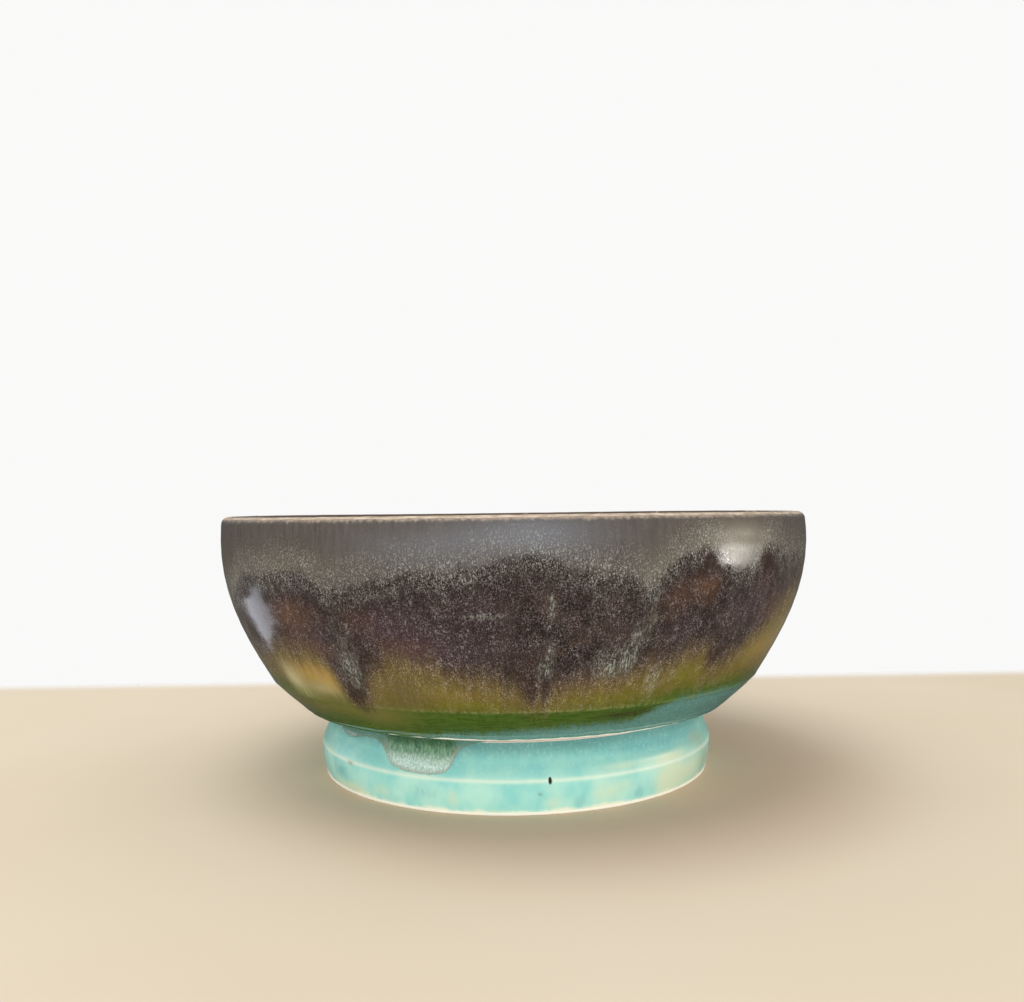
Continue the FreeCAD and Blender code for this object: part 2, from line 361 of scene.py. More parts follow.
class Look:
    """A node tree, and short calls that add nodes to it."""

    def __init__(self, owner):
        owner.use_nodes = True
        self.owner = owner
        self.tree = owner.node_tree
        self.surface = self.tree.nodes.get("Principled BSDF")

    def add(self, kind, inputs=(), **settings):
        node = self.tree.nodes.new("ShaderNode" + kind)
        for name, value in settings.items():
            setattr(node, name, value)
        for key, value in dict(inputs).items():
            self.feed(node.inputs[key], value)
        return node

    def feed(self, socket, value):
        """Gives a socket a link, a plain value, or a screen colour of three numbers."""
        if isinstance(value, Value):
            value = value.socket
        if isinstance(value, bpy.types.NodeSocket):
            self.tree.links.new(value, socket)
        elif socket.type == "RGBA" and len(value) == 3:
            socket.default_value = tone(*value)
        else:
            socket.default_value = value

    def maths(self, operation, first, second):
        return Value(self, self.add("Math", {0: first, 1: second}, operation=operation).outputs[0])

    def read(self, name):
        return Value(self, self.add("Attribute", attribute_name=name).outputs["Fac"])

    def read_vector(self, name):
        return self.add("Attribute", attribute_name=name).outputs["Vector"]

    def stretch(self, vector, around, downhill):
        scale = (around, around, downhill)
        return self.add("VectorMath", {0: vector, 1: scale}, operation="MULTIPLY").outputs[0]

    def noise(self, vector, around, downhill, detail=2.0, rough=0.5):
        """Noise with this many waves in a millimetre round the pot and downhill."""
        place = self.stretch(vector, around, downhill)
        inputs = {"Vector": place, "Scale": 1.0, "Detail": detail, "Roughness": rough}
        return Value(self, self.add("TexNoise", inputs).outputs["Fac"])

    def swing(self, vector, around, downhill, **settings):
        """Noise of about -0.5 to 0.5."""
        return self.noise(vector, around, downhill, **settings) - 0.5

    def dots(self, vector, around, downhill, share, size):
        """Scattered soft dots, this many in a millimetre, where `share` of the cells have one."""
        place = self.stretch(vector, around, downhill)
        cells = self.add("TexVoronoi", {"Vector": place, "Scale": 1.0})
        chance = self.add("SeparateColor", {0: cells.outputs["Color"]}).outputs[0]
        chosen = self.step(chance, 1.0 - share, 1.3 - share)
        return self.step(cells.outputs["Distance"], size, 0.3 * size) * chosen

    def step(self, value, low, high, start=0.0, end=1.0):
        """A smooth change from start to end as value goes from low to high."""
        inputs = {"Value": value, "From Min": low, "From Max": high, "To Min": start, "To Max": end}
        return Value(self, self.add("MapRange", inputs, interpolation_type="SMOOTHSTEP").outputs[0])

    def flecks(self, vector, around, downhill, low, high, **settings):
        """Crystals: 0 where the noise is below low, 1 where it is above high."""
        return self.step(self.noise(vector, around, downhill, **settings), low, high)

    def mix(self, share, below, above):
        """Colour `below`, going to `above` as share goes from 0 to 1."""
        return self.add("Mix", {0: share, 6: below, 7: above}, data_type="RGBA").outputs[2]

    def shade(self, value, low, high, first, second):
        """A colour that goes from first to second as value goes from low to high."""
        return self.mix(self.step(value, low, high), first, second)

    def coats(self, colour, *layers):
        """Lays (share, colour) layers over a colour; a share can be the name of a painted number."""
        for share, above in layers:
            if isinstance(share, str):
                share = self.read(share)
            colour = self.mix(share, colour, above)
        return colour

    def blend(self, share, below, above):
        """Number `below`, going to `above` as share goes from 0 to 1."""
        return Value(self, self.add("Mix", {0: share, 2: below, 3: above}, data_type="FLOAT").outputs[0])

    def finish(self, colour, roughness, relief=None, relief_height=0.0):
        """Joins up the surface; relief is a height of 0 to 1, and relief_height is in millimetres."""
        self.feed(self.surface.inputs["Base Color"], colour)
        self.feed(self.surface.inputs["Roughness"], roughness)
        if relief is not None:
            bump = self.add("Bump", {"Strength": 1.0, "Distance": relief_height * MM, "Height": relief})
            self.feed(self.surface.inputs["Normal"], bump.outputs[0])
        return self.owner


def new_look(name):
    return Look(bpy.data.materials.new(name))


# ---------------------------------------------------------------- where the glazes change

# Heights where one glaze colour gives way to the next, as (azimuth, height) points.
DARK_TOP = [
    (-160, 70), (-140, 75), (-120, 66), (-100, 71), (-80, 64), (-66, 61), (-60, 64), (-55, 71),
    (-48, 70), (-40, 72), (-35, 71.5), (-31, 67), (-27, 68), (-22, 69.5), (-16, 72), (-8, 72),
    (-2, 75.5), (3, 76), (10, 72.5), (15, 71), (18, 70), (21, 67), (25, 74), (30, 77.5), (34, 77),
    (38, 71), (43, 71), (46, 77.5), (50, 77), (54, 73), (60, 74), (72, 73), (95, 66), (115, 74),
    (140, 67),
]
DARK_BOTTOM = [
    (-165, 44), (-140, 50), (-120, 45), (-100, 51), (-75, 45), (-60, 44), (-50, 48), (-37, 49),
    (-34, 42), (-32, 37), (-28, 38), (-25, 46), (-21, 49), (-15, 47), (-10, 44), (-4, 43), (2, 39),
    (5, 37), (9, 41), (16, 42.5), (22, 44), (28, 46), (31, 48.5), (35, 48), (38, 44), (41, 44),
    (46, 48), (52, 55), (62, 63), (80, 57), (100, 47), (120, 52), (140, 45),
]
GREEN_TOP = [
    (-150, 37), (-100, 39), (-60, 38), (-48, 36), (-36, 35), (-20, 34), (8, 34.0), (22, 35.5),
    (34, 38), (50, 38), (70, 37), (110, 36), (150, 38),
]
TEAL_TOP = [
    (-150, 27), (-75, 24), (-60, 22.0), (-28, 22.4), (-15, 25.2), (-4, 26.4), (12, 28.0), (24, 28.0),
    (29, 31.5), (33, 33.6), (45, 34), (65, 33), (90, 29), (130, 26),
]

# Soft ovals of one colour or texture: (azimuth, height, half width, half height, strength). The sheen ovals
# and the lower-left pale ones are painted reflections.
OUTSIDE_PATCHES = {
    "crystal_run": [
        (-30, 44, 2.2, 6, 1.0), (-30, 55, 3.0, 9, 0.35), (5.6, 64, 0.7, 4.5, 1.0), (5.7, 52, 0.8, 4, 0.6),
        (5.0, 46, 1.8, 4, 0.7), (11.5, 60, 0.6, 7, 0.3), (14, 66, 1.0, 9, 0.4), (16, 47, 3.5, 4.5, 1.0),
        (19.5, 52, 1.4, 7, 0.7), (-12, 62, 0.8, 6, 0.3), (21.5, 68, 2.5, 6, 0.45), (25, 41, 1.8, 5, 1.0),
        (22, 57, 1.5, 8, 0.4), (-4, 61, 4.5, 1.0, 0.8), (-7, 70, 1.2, 1.6, 0.7), (29, 44, 0.9, 6, 0.5),
        (38, 76, 5, 3.0, 0.7), (120, 62, 4.0, 14, 0.8), (-120, 60, 4.0, 14, 0.8), (165, 60, 3.0, 12, 0.7),
        (-85, 56, 3.0, 10, 0.5),
    ],
    "gold": [
        (-42, 43, 7, 4.5, 1.0), (-37, 41, 3, 4, 0.7), (-10, 39.5, 6, 2.2, 0.2), (14, 39.5, 6, 1.8, 0.15),
        (57, 46, 10, 5, 0.5), (72, 44, 10, 6, 0.5), (130, 44, 14, 4, 0.7), (-110, 43, 14, 4, 0.7),
    ],
    # The three pale ovals on the lower left paint a reflection streak; the one on the right is a pale patch.
    "pale": [
        (-48.5, 40, 3.0, 5.5, 1.0), (-46, 34.5, 4, 1.8, 0.6), (-40, 37.5, 6, 2.5, 0.5), (64, 50, 5, 6, 0.25),
    ],
    "yellow_green": [
        (32, 43, 5, 3.5, 0.9), (15, 37, 7, 1.8, 0.8), (22, 42, 2, 3, 0.6), (-8, 36, 6, 1.2, 0.7),
    ],
    "dark_brown": [
        (32, 74, 2.0, 3.5, 1.0), (47, 73, 2.8, 4.0, 0.95), (-58, 53, 4, 5.5, 0.9), (-31, 38, 3.5, 6, 0.9),
        (-25, 48, 4, 5, 0.5), (1.5, 46, 3, 5, 0.6), (38, 47, 3.0, 5, 0.7), (26, 62, 3.5, 9, 0.35),
        (3, 39, 2.0, 4, 0.55), (48, 54, 5, 3, 0.5), (22, 31, 8, 1.6, 0.5),
    ],
    "warm_brown": [
        (-41, 60, 5, 6, 0.9), (-40, 50, 7, 3, 0.7), (32, 68, 2.5, 4, 0.9), (-18, 52, 5, 3, 0.5),
        (57, 58, 7, 5, 0.8), (44, 68, 4, 3, 0.3), (14, 41.5, 8, 1.5, 0.5), (-26, 62, 4, 6, 0.5),
        (26, 66, 3, 5, 0.5), (-61, 50, 4, 3, 0.6), (68, 54, 8, 5, 0.6),
    ],
    "purple": [
        (-14, 52, 9, 6, 1.0), (-22, 60, 5, 5, 0.8), (-8, 62, 6, 5, 0.4), (44, 61, 6, 6, 0.9),
        (-36, 68, 5, 3, 0.7), (-36, 55, 4, 4, 0.6), (28, 56, 3, 4, 0.5), (-100, 58, 14, 8, 0.8),
        (110, 58, 16, 8, 0.8), (170, 56, 14, 8, 0.8),
    ],
    "olive": [
        (-52, 31, 16, 3.5, 1.0), (-28, 31, 7, 4.0, 0.9), (-40, 33, 12, 3, 0.5), (-20, 37, 5, 4, 0.5),
        (-21, 43, 5, 5, 0.6),
    ],
    # Painted reflection: a bluish sheen on the top band where it faces the camera.
    "painted_blue_sheen": [(3, 82, 11, 5, 1.0), (-12, 79, 8, 5, 0.5), (-22, 80, 6, 5, 0.25)],
    # Painted reflection: a lighter warm sheen, mostly round the right highlight.
    "painted_green_sheen": [(39, 80, 9, 5, 1.0), (24, 72, 5, 6, 0.4), (-40, 74, 12, 4, 0.3), (-58, 68, 6, 5, 0.6)],
}


# ---------------------------------------------------------------- the running glaze outside

COAT = 0.6
COAT_BEAD = 0.45
COLUMNS = 720
WALL_REFERENCE = 100.0
TUCK = 0.15
BARE_CORNER = [
    (-180, 0.4), (-60, 0.1), (-33, -0.3), (-29, 0.3), (-26, -0.1), (-22, 0.3), (-20, -0.1),
    (-17, 0.4), (8, 0.3), (10, 0.6), (13, 0.45), (18, 0.25), (45, 0.35), (60, 0.0), (120, 0.4),
]


def glaze_swell(azimuth, height):
    """How far the outside glaze stands out from the CAD skin, in millimetres."""
    degrees = np.degrees(azimuth)
    fade = smooth(LIP_HEIGHT - height, 0, 5)
    rings = np.sin(FULL_TURN * height / 5.5 + azimuth) * smooth(height, TRIM_HEIGHT, TRIM_HEIGHT + 6)
    sag = 0.16 * wander(azimuth, height, 26, 60, seed=3) + 0.10 * wander(azimuth, height, 9, 90, seed=4)
    front = 0.35 + 0.65 * smooth(degrees, -34, -18) * smooth(70 - degrees, 0, 30)
    groove = 0.08 * bell(height, TRIM_HEIGHT - 1.3, 0.9)
    ridge = front * (0.12 * bell(height, TRIM_HEIGHT + 0.1, 0.5) - groove)
    roll = 0.35 * bell(height, WALL_BOTTOM + 1.0, 1.2) * (1 + 0.5 * wander(azimuth, height, 40, 80, seed=5))
    return 0.08 + fade * (0.02 * rings + sag) + ridge + roll


def lower_edge(azimuth):
    """Height of the coat's lower edge: it hides the corner at places in the front left only."""
    bare = along(BARE_CORNER, azimuth)
    ragged = uneven(azimuth, (0.12, 90, 6), (0.10, 20, 7))
    return CORNER_HEIGHT + 0.6 + bare + ragged * smooth(bare, -0.2, 0.3)


def upper_edge(azimuth):
    """Angle round the lip, in radians from its outer side, where the coat thins away."""
    return math.radians(44) + uneven(azimuth, (0.09, 70, 8), (0.07, 14, 9))


def build_outer_glaze():
    turn = turns_round(COLUMNS)
    levels = spread((LIP_HEIGHT, 36, 74), (36, 31, 22), (31, 27, 8), (27, WALL_BOTTOM, 11))
    lip_share = np.linspace(1, 0, 7)[:-1]
    lip = round_lip(upper_edge(turn) * lip_share, 0.08 - 0.05 * lip_share)
    wall_height = levels + smooth(27 - levels, 0, 27 - WALL_BOTTOM) * (lower_edge(turn) - WALL_BOTTOM)
    wall = wall_radius(wall_height) + glaze_swell(turn, levels)
    nose = rolled_edge(wall, wall_height, COAT_BEAD, 6)
    back_height = np.linspace(WALL_BOTTOM + 1, LIP_HEIGHT - 0.5, 14)
    back = wall_radius(back_height) - COAT
    tuck = round_lip(upper_edge(turn), -TUCK)
    radius, height, starts = section(turn, lip, (wall, wall_height), nose, (back, back_height), tuck)

    degrees = np.degrees(turn)
    zones = {name: patches(blots, turn, height) for name, blots in OUTSIDE_PATCHES.items()}
    zones["from_dark_top"] = height - along(DARK_TOP, turn)
    zones["from_dark_bottom"] = height - along(DARK_BOTTOM, turn)
    zones["from_green_top"] = height - along(GREEN_TOP, turn)
    zones["from_teal_top"] = height - along(TEAL_TOP, turn)
    zones["from_lip"] = TOP - height
    zones["ridge"] = bell(height, TRIM_HEIGHT + 0.15, 0.45) * (0.15 + 0.85 * smooth(degrees, -30, -16))
    flow = flow_map(turn, radius, height, WALL_REFERENCE)
    hidden = slice(starts[3] - 3, None)
    return ring_piece("running_glaze_coat", turn, *settle(turn, radius, height), hidden, flow=flow, **zones)


def running_glaze():
    look = new_look("running_glaze_look")
    flow = look.read_vector("flow")
    wide = look.swing(flow, 0.30, 0.05)
    streak = look.swing(flow, 0.9, 0.10)
    brush = look.swing(flow, 2.2, 0.30)
    grain = look.swing(flow, 2.4, 1.8)
    drips = look.swing(flow, 0.65, 0.045)
    lines = look.swing(flow, 0.16, 1.3, detail=3.0, rough=0.6)
    mottle = look.swing(flow, 0.7, 0.45, detail=4.0, rough=0.65)
    blotch = look.noise(flow, 0.14, 0.12, detail=3.0)
    patchy = look.step(mottle, -0.15, 0.15)
    brushed = streak * 3.0 + brush * 2.0

    from_teal = look.read("from_teal_top") + mottle * 5.0 + brush
    from_green = look.read("from_green_top") + brushed
    to_bottom = look.read("from_dark_bottom")
    from_bottom = to_bottom + drips * 9.0 + mottle * 6.0 + grain * 5.0
    from_top = look.read("from_dark_top") + wide * 4.0 + streak * 2.5 + grain * 5.0
    from_lip = look.read("from_lip")
    below_trim = look.step(from_lip, TOP - TRIM_HEIGHT - 0.3, TOP - TRIM_HEIGHT + 0.5)
    under_top = look.step(from_top, -11.0, -4.0) * look.step(from_bottom, 4.0, 12.0, 0.0, 0.8)
    dark_brown = look.step(look.read("dark_brown") + mottle * 0.5, 0.1, 1.0, 0.0, 0.9)

    # The plain colours of the zones, from the lowest up.
    teal = look.shade(mottle * 0.5 + grain, -0.2, 0.2, (82, 126, 116), (108, 150, 140))
    green = look.coats(
        look.shade(lines + mottle * 0.5, -0.2, 0.2, (54, 80, 8), (78, 100, 34)),
        ("olive", (108, 104, 46)),
    )
    amber = look.coats(
        look.shade(brushed + mottle * 4.0, -1.6, 1.6, (92, 80, 20), (114, 100, 44)),
        ("olive", (96, 84, 50)),
        ("gold", (168, 136, 66)),
        ("yellow_green", (106, 104, 14)),
        # Partly painted reflection: on the lower left this pale colour stands for a reflected streak.
        ("pale", (188, 174, 126)),
    )
    umber = look.mix(patchy, (74, 58, 34), (104, 86, 50))
    dark = look.coats(
        look.shade(blotch, 0.38, 0.62, (32, 23, 19), (52, 40, 35)),
        (look.step(mottle, 0.02, 0.16, 0.0, 0.5), (74, 54, 38)),
        ("purple", (56, 41, 47)),
        ("warm_brown", (84, 55, 36)),
    )
    band = look.coats(
        look.shade(brushed, -1.2, 1.2, (76, 68, 62), (94, 86, 80)),
        ("painted_blue_sheen", (106, 106, 110)),
        # Painted reflection: the bluish sheen above and the lighter sheen below are reflections laid into the
        # band's colour.
        ("painted_green_sheen", (118, 110, 92)),
    )

    # The crystals, as shares of the surface that they cover.
    crowd = look.flecks(flow, 0.4, 0.25, 0.35, 0.65)
    coarse = look.flecks(flow, 1.5, 1.1, 0.54, 0.68, detail=3.0, rough=0.8)
    fine = look.flecks(flow, 2.9, 2.3, 0.50, 0.66, rough=0.8)
    needles = look.flecks(flow, 2.7, 1.7, 0.51, 0.64, detail=3.0, rough=0.8)
    long_needles = look.flecks(flow, 1.9, 0.6, 0.48, 0.66, detail=3.0, rough=0.75)
    run = look.step(look.read("crystal_run") + mottle * 0.8, 0.1, 1.0)
    reach = look.step(to_bottom + mottle * 6.0, -20.0, 2.0)
    reach = reach * look.step(below_trim, 1.0, 0.0, 0.25, 1.0) * look.step(from_teal, -2.0, 3.0)
    in_dark = look.step(from_top, 1.0, -3.0) * reach * look.step(dark_brown, 0.9, 0.3, 0.2, 1.0)
    dusty = look.step(from_bottom, 7.0, 0.0) * look.step(from_bottom, -14.0, -5.0)
    fine_share = in_dark * fine * look.blend(crowd, 0.20, 0.50) * look.blend(dusty, 1.0, 1.6)
    coarse_share = in_dark * coarse * look.blend(crowd, 0.10, 0.50)
    near_top = look.step(from_top, -7.0, 0.0) * look.step(from_top, 12.0, 1.0)
    needle_share = needles * (near_top * 0.80 + 0.08) * look.step(from_top, -10.0, -3.0)
    needle_share = needle_share * look.blend(crowd, 0.55, 1.0) * look.step(dark_brown, 0.7, 0.2, 0.2, 1.0)
    run_share = run * long_needles
    crystals = fine_share + coarse_share + needle_share + run_share

    colour = look.coats(
        green,
        (look.step(from_green, -4.0, 3.0), amber),
        (below_trim, green),
        (look.step(from_teal, 1.8, -1.8), teal),
        (look.step(from_bottom, -9.0, 2.0), umber),
        (look.step(from_bottom, -3.5, 6.5), dark),
        (under_top, (34, 22, 18)),
        (dark_brown, (52, 36, 25)),
        (look.step(from_top, -1.5, 1.8), band),
        (dark_brown * look.step(from_top, 3.0, -2.0), (46, 29, 23)),
        (fine_share, look.shade(from_bottom, -3.0, 4.0, (184, 160, 120), (154, 138, 138))),
        (coarse_share, (172, 162, 154)),
        (needle_share, (176, 176, 166)),
        (run_share * 0.60, (182, 188, 172)),
        (run * needles * 0.35, (172, 172, 154)),
        (coarse * look.step(from_teal, 5.0, -1.0) * 0.22, (160, 192, 184)),
        (look.read("ridge") * look.blend(patchy, 0.0, 0.34), (146, 158, 96)),
        (look.step(from_lip + mottle * 2.4, 1.7, 0.5, 0.0, 0.75), (182, 162, 142)),
    )
    roughness = look.blend(look.step(from_top, -2.0, 3.0), 0.11, 0.26)
    roughness = look.blend(crystals, roughness, 0.40)
    return look.finish(colour, roughness, crystals * 0.5 + look.noise(flow, 0.35, 0.25) * 1.2, 0.025)


# ---------------------------------------------------------------- lip, inside and clay

def build_lip_glaze():
    turn = turns_round(COLUMNS)
    over = np.linspace(math.radians(184), math.radians(-4), 19)
    bumpy = 0.05 * wander(turn, over * 10, 60, 12, seed=11) + 0.03 * wander(turn, over * 10, 160, 6, seed=12)
    outside = round_lip(over, -0.02 + bumpy * np.sin(np.clip(over, 0, math.pi)))
    inside = round_lip(over[::-3], -0.4)
    radius, height, starts = section(turn, outside, inside)
    flow = flow_map(turn, radius, height, WALL_REFERENCE)
    hidden = slice(starts[1] - 1, None)
    return ring_piece("lip_glaze_band", turn, *settle(turn, radius, height), hidden, strips=8,
                      flow=flow, from_top=TOP - height)


def from_straight_down(angle):
    """The angle as a share of a quarter turn, squared, which is what the inside's curve takes."""
    return (angle / (math.pi / 2)) ** 2


def inside_reach():
    """The inside skin as a reach from the middle of the mouth, by angle from straight down."""
    angles = np.radians(np.linspace(0.5, 88, 40))
    sides = FULL_TURN * np.arange(12) / 12
    reaches = []
    for angle in angles:
        across = math.sin(angle)
        rays = [(across * math.cos(side), across * math.sin(side), -math.cos(angle)) for side in sides]
        reaches.append(max(cad_distance("inner_glaze", (0, 0, LIP_HEIGHT), ray) for ray in rays))
    return np.polynomial.Polynomial.fit(from_straight_down(angles), reaches, 7)


mouth_reach = inside_reach()
INNER_COAT = 0.5
INSIDE_REFERENCE = 70.0


def inside_skin(turn, angle, depth):
    """Radius and height of a skin this deep behind the inside surface."""
    reach = mouth_reach(from_straight_down(angle))
    travelled = reach * angle
    finger_rings = 0.10 * np.sin(FULL_TURN * travelled / 8.0 - turn) * smooth(travelled, 8, 30)
    sag = 0.10 * wander(turn, travelled, 12, 60, seed=21) * smooth(travelled, 0, 40)
    fade = smooth(math.pi / 2 - angle, 0, 0.12)
    reach = reach - fade * (finger_rings + sag) + depth
    return reach * np.sin(angle), LIP_HEIGHT - reach * np.cos(angle)


def build_inner_glaze():
    turn = turns_round(480)
    skin = inside_skin(turn, np.radians(spread((0.3, 30, 36), (30, 70, 70), (70, 90, 34))), 0)
    edge = math.radians(78) + uneven(turn, (0.08, 70, 22), (0.08, 12, 23))
    lip_share = np.linspace(0, 1, 13)[1:]
    lip = round_lip(math.pi - edge * lip_share, 0.06 - 0.04 * lip_share)
    tuck = round_lip(math.pi - edge, -TUCK)
    back = inside_skin(turn, np.radians(np.linspace(88, 0.3, 24)), INNER_COAT)
    radius, height, starts = section(turn, skin, lip, tuck, back)
    flow = flow_map(turn, radius, height, INSIDE_REFERENCE)
    hidden = slice(starts[2] - 1, None)
    return ring_piece("liner_glaze_coat", turn, *settle(turn, radius, height), hidden, strips=2, poles=True,
                      flow=flow, depth=LIP_HEIGHT - height, out=radius)


def build_bowl_clay():
    turn = turns_round(COLUMNS)
    inside = inside_skin(turn, np.radians(np.linspace(0.3, 88, 30)), INNER_COAT + HAIR)
    lip = round_lip(np.linspace(math.pi, 0, 9), -0.45)
    wall_levels = np.linspace(LIP_HEIGHT - 2, CORNER_HEIGHT + 3, 30)
    wall = wall_radius(wall_levels) - COAT - HAIR

    nicked = CORNER_RADIUS + HAIR + uneven(turn, (0.08, 120, 31), (0.06, 40, 32))
    round_over = 0.35
    strip_height = CORNER_HEIGHT + 2.0 + (round_over - 2.0) * np.linspace(0, 1, 4)
    corner_angle = np.linspace(0, -0.8 * math.pi / 2, 6)[1:]
    corner = nicked - round_over * (1 - np.cos(corner_angle))
    corner_height = CORNER_HEIGHT + round_over + round_over * np.sin(corner_angle)

    share = np.linspace(0.97, 0.0, 40)
    level = UNDERSIDE + share * (CORNER_HEIGHT - UNDERSIDE)
    rings = 0.10 * np.sin(FULL_TURN * share * 5 + 0.6 * np.sin(turn)) * smooth(1 - share, 0, 0.15)
    slope = (underside_radius(level), level + rings * smooth(share, 0, 0.1))

    flat = np.linspace(NECK_TOP_RADIUS - 1, 0.4, 90) + 0 * turn
    showing = smooth(FOOT_INNER_RADIUS - 2 - flat, 0, 4)
    cuts = 0.14 * np.abs(np.sin(math.pi * flat / 4.6 + 0.5 * turn / math.pi))
    cuts = cuts + 0.03 * wander(turn, flat, 9, 20, seed=33)
    flat_height = UNDERSIDE + 0.02 + showing * (cuts + 0.5 * bell(flat, 0, 30))

    radius, height, starts = section(turn, inside, lip, (wall, wall_levels), (nicked, strip_height),
                                     (corner, corner_height), slope, (flat, flat_height))
    radius, height = settle(turn, radius, height)
    edge = bell(radius, CORNER_RADIUS, 1.2) * bell(height, CORNER_HEIGHT, 2.0)
    return ring_piece("bowl_clay", turn, radius, height, slice(starts[3] - 1), poles=True, edge=edge)


# ---------------------------------------------------------------- the foot

# The pinhole's azimuth and height, then half its width and half its height.
PINHOLE = (8.2, 10.2)
PINHOLE_HALF = (0.6, 1.15)
PINHOLE_DEPTH = 0.55
FOOT_TILT = 0.25
FOOT_BEAD = 0.22
SPECKS = [(5.7, 6.5, 0.35, 0.45, 1.0), (-50, 10.2, 1.2, 0.6, 0.8)]
CREAM = [
    (-58, 2.0, 5, 2.0, 0.6), (-49, 2.2, 6, 2.2, 1.0), (-37, 4.5, 3.5, 2.8, 0.5), (-16, 4.8, 1.8, 3.2, 0.6),
    (-5, 1.2, 5, 1.3, 0.5), (9, 3.6, 2.4, 2.6, 0.55), (23, 5.4, 5, 4.2, 0.6), (29, 6.4, 3, 3.0, 0.3),
    (44, 4.6, 5.5, 6.0, 1.2), (56, 5.0, 9, 6.5, 0.85), (28, 12.2, 8, 1.5, 0.5), (44, 11.8, 8, 1.5, 0.6),
    (110, 4.0, 10, 5.0, 0.7), (150, 3.0, 14, 3.5, 0.7), (-110, 3.5, 12, 4.0, 0.7), (-160, 5.0, 6, 4.0, 0.6),
]
WARM = [(60, 14.0, 8, 3.0, 0.6), (66, 6.0, 7, 6.0, 0.8), (-49, 10.2, 1.5, 0.8, 0.4), (160, 6, 10, 5, 0.5)]
DEEP_TEAL = [
    (-17, 16.4, 4, 2.2, 0.5), (-56, 6.5, 5, 3.2, 0.7), (-24, 6.0, 5, 3.5, 0.5), (-8, 5.0, 3, 3, 0.2),
    (16, 3.6, 2.2, 3.0, 0.5), (33, 3.4, 2, 3.2, 0.6), (6, 19.0, 10, 1.8, 0.3), (30, 17.4, 9, 2.6, 0.6),
    (44, 16.4, 12, 3.4, 0.9), (60, 16.5, 8, 3.0, 0.5), (120, 17, 30, 3.0, 0.7), (-110, 17, 25, 3.0, 0.7),
    (170, 17, 20, 3.0, 0.6),
]


def foot_level(azimuth, height):
    """Height along the foot's turned rings, which are slightly lower at the right."""
    return height + FOOT_TILT * np.sin(azimuth)


def foot_swell(azimuth, height):
    """How far the foot's glaze stands out from the CAD skin, in millimetres."""
    level = foot_level(azimuth, height)
    stronger_at_right = 0.3 + 0.7 * smooth(np.degrees(azimuth), -10, 12)
    rings = smooth(level, 11, 12.5) * smooth(19 - level, 0, 3) * stronger_at_right
    throwing = 0.035 * np.sin(FULL_TURN * level / 2.6 + azimuth) * rings
    sag = 0.07 * wander(azimuth, height, 24, 30, seed=41) + 0.05 * wander(azimuth, height, 70, 15, seed=42)
    bead = 0.07 * bell(level, RIDGE_HEIGHT, 0.6) - 0.12 * bell(level, RIDGE_HEIGHT + 0.4, 1.6)
    return 0.02 + throwing + sag * smooth(height, 0, 3) + bead


def pit_depth(azimuth, height):
    """The pinhole: 1 in its middle and 0 outside it."""
    across = np.radians(np.degrees(azimuth) - PINHOLE[0]) * foot_high.x / PINHOLE_HALF[0]
    upward = (height - PINHOLE[1]) / PINHOLE_HALF[1]
    return np.clip(1 - across ** 2 - upward ** 2, 0, 1)


def foot_turns():
    """Even columns, with closer ones through the pinhole."""
    close = np.radians(np.linspace(PINHOLE[0] - 0.8, PINHOLE[0] + 0.8, 15))
    even = turns_round(COLUMNS)
    even = even[(even < close[0] - 0.002) | (even > close[-1] + 0.002)]
    return np.sort(np.concatenate([even, close]))[:, None]


def build_foot_glaze():
    turn = foot_turns()
    low_edge = 0.6 + 0.5 * uneven(turn, (0.25, 50, 43), (0.25, 10, 44))
    levels = spread((NECK_TOP + 0.5, 12, 34), (12, 8.5, 24), (8.5, 2.5, 20), (2.5, 1.3, 5))
    shown_height = levels + smooth(2.5 - levels, 0, 1.2) * (low_edge - 1.3)
    pit = pit_depth(turn, shown_height)
    shown = foot_radius(shown_height) + foot_swell(turn, shown_height) - PINHOLE_DEPTH * np.sqrt(pit)
    nose = rolled_edge(shown, shown_height, FOOT_BEAD, 5)
    back_levels = np.linspace(2.2, NECK_TOP + 0.4, 12)
    back = foot_radius(back_levels) - 0.68
    radius, height, starts = section(turn, (shown, shown_height), nose, (back, back_levels))
    return ring_piece(
        "turquoise_coat", turn, radius, height, slice(starts[1] + 3, None), strips=4,
        flow=flow_map(turn, radius, height, foot_high.x),
        level=height,
        ridge=bell(foot_level(turn, height), RIDGE_HEIGHT + 0.15, 0.6),
        cream=patches(CREAM, turn, height),
        teal=patches(DEEP_TEAL, turn, height),
        warm=patches(WARM, turn, height),
        # The pit number also tells the glaze's colour where to paint shade into the pinhole.
        pit=smooth(pit_depth(turn, height), 0.0, 0.5),
        speck=patches(SPECKS, turn, height),
    )


def build_foot_clay():
    turn = turns_round(COLUMNS)
    levels = np.linspace(NECK_TOP, 1.6, 24)
    outside = foot_radius(np.maximum(levels, foot_low.z)) - 0.72
    base = foot_radius(foot_low.z) - 0.12
    edge = 0.8
    turn_under = np.linspace(0, -math.pi / 2, 7)
    rounded = base + uneven(turn, (0.06, 30, 51)) - edge * (1 - np.cos(turn_under))
    flat = np.linspace(base - edge - 0.5, FOOT_INNER_RADIUS + 3.0, 10)
    inner_levels = np.linspace(0.5, NECK_TOP, 40)
    rings = 0.12 * np.sin(FULL_TURN * inner_levels / 3.4 + turn) * smooth(inner_levels, 1, 4)
    inner = FOOT_INNER_RADIUS + 2.0 * (1 - inner_levels / NECK_TOP) + rings
    radius, height, starts = section(turn, (outside, levels), (rounded, edge + edge * np.sin(turn_under)),
                                     (flat, 0.0), (inner, inner_levels))
    worn = bell(radius, base, 1.6) * bell(height, edge, 1.2)
    return ring_piece("foot_clay", turn, radius, height, slice(starts[1] - 2), edge=worn)


